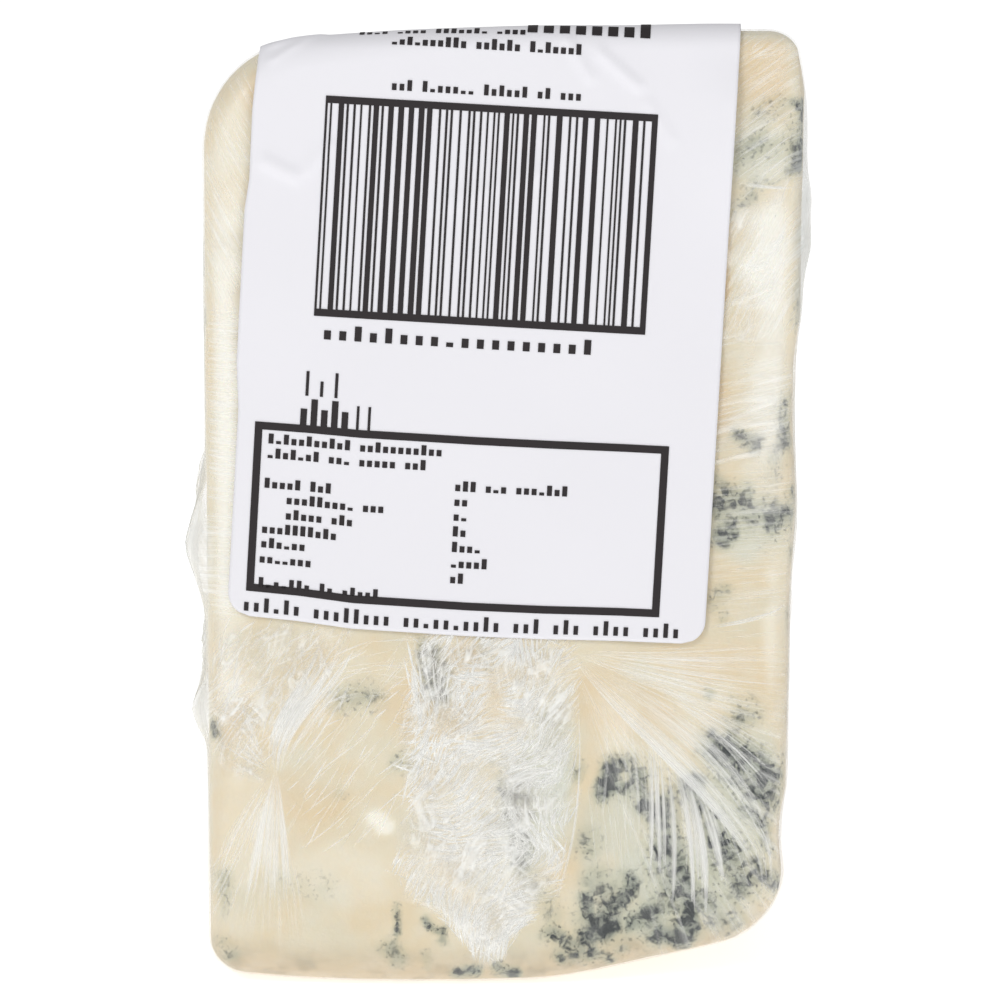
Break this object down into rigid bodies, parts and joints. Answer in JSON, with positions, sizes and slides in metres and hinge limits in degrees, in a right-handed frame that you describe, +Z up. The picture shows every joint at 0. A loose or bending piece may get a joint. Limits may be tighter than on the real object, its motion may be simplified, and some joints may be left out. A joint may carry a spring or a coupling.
{
  "type": "blue cheese wedge",
  "caption": "Wedge of blue-veined cheese wrapped tightly in clear film, standing on its rind, with a paper label folded over its thin tip.",
  "frame": {"origin": "centre of the flat under the rind, below the wheel's centre line", "axes": "+Z up, from the rind to the thin tip; +X along the wheel's centre line, towards its flat face and shoulder; the labelled cut face looks along -Y"},
  "size_m": [0.0819, 0.0586, 0.1237],
  "materials": {
    "wrapped_cheese": "soft cream cheese with grey-green veins, under clear glossy film",
    "label": "matt white label paper with dark thermal print"
  },
  "bodies": {
    "root": {"wrapped_wedge": "wrapped_cheese", "label": "label"}
  },
  "joints": []
}
